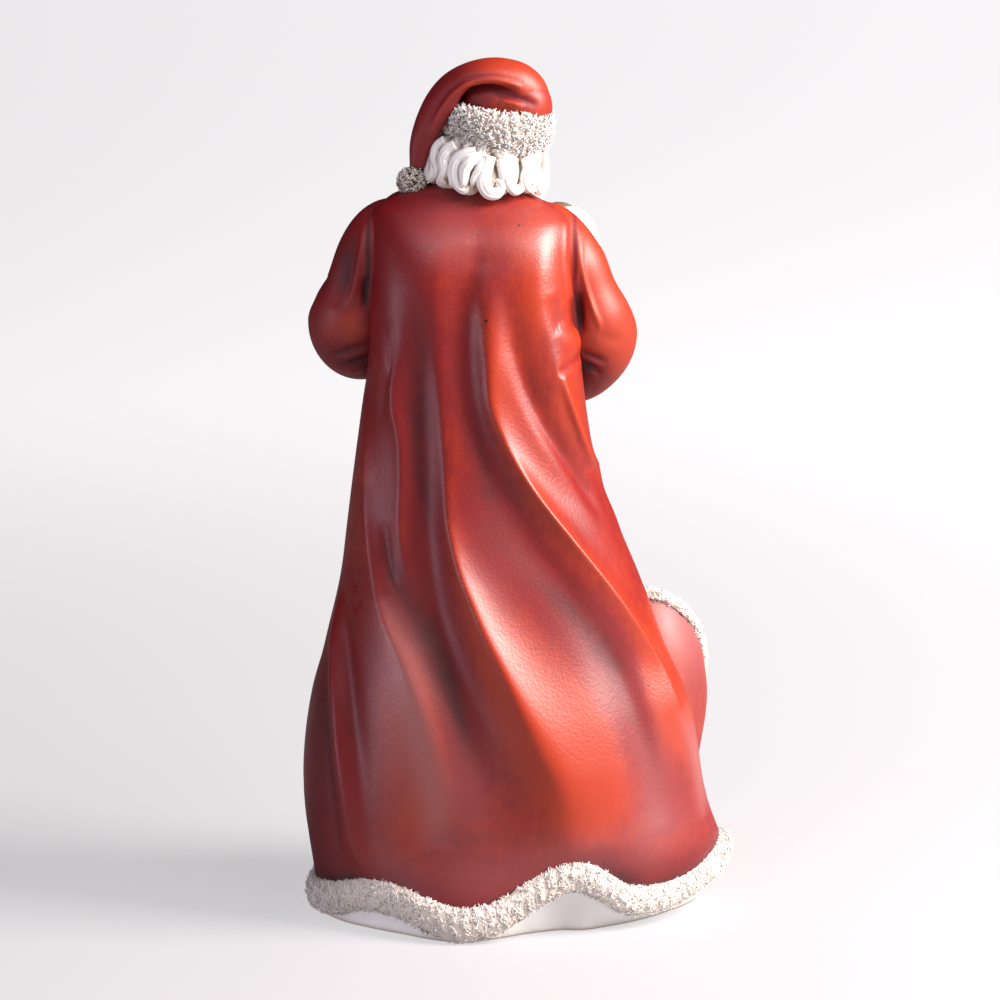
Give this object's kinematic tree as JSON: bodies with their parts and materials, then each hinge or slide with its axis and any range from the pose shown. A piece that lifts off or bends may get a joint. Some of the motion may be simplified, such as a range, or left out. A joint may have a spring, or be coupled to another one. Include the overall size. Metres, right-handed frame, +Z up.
{
  "type": "santa figurine",
  "caption": "Standing Santa figurine cast in one piece of painted resin, in a long windswept red coat with white fur hem, holding a puppy, with a sack at its side.",
  "frame": {"origin": "bottom centre of the figurine's bounding box, on the surface it stands on", "axes": "+Z up, the face looks towards -Y, +X is the figure's left hand"},
  "size_m": [0.1534, 0.1268, 0.3001],
  "materials": {
    "red_paint": "satin paint with dark antique wash in the folds",
    "white_paint": "matt to satin paint with brown wash in the recesses",
    "skin_paint": "satin paint",
    "brown_paint": "satin paint",
    "black_paint": "satin paint"
  },
  "bodies": {
    "root": {"santa_figurine": "red_paint"}
  },
  "joints": []
}
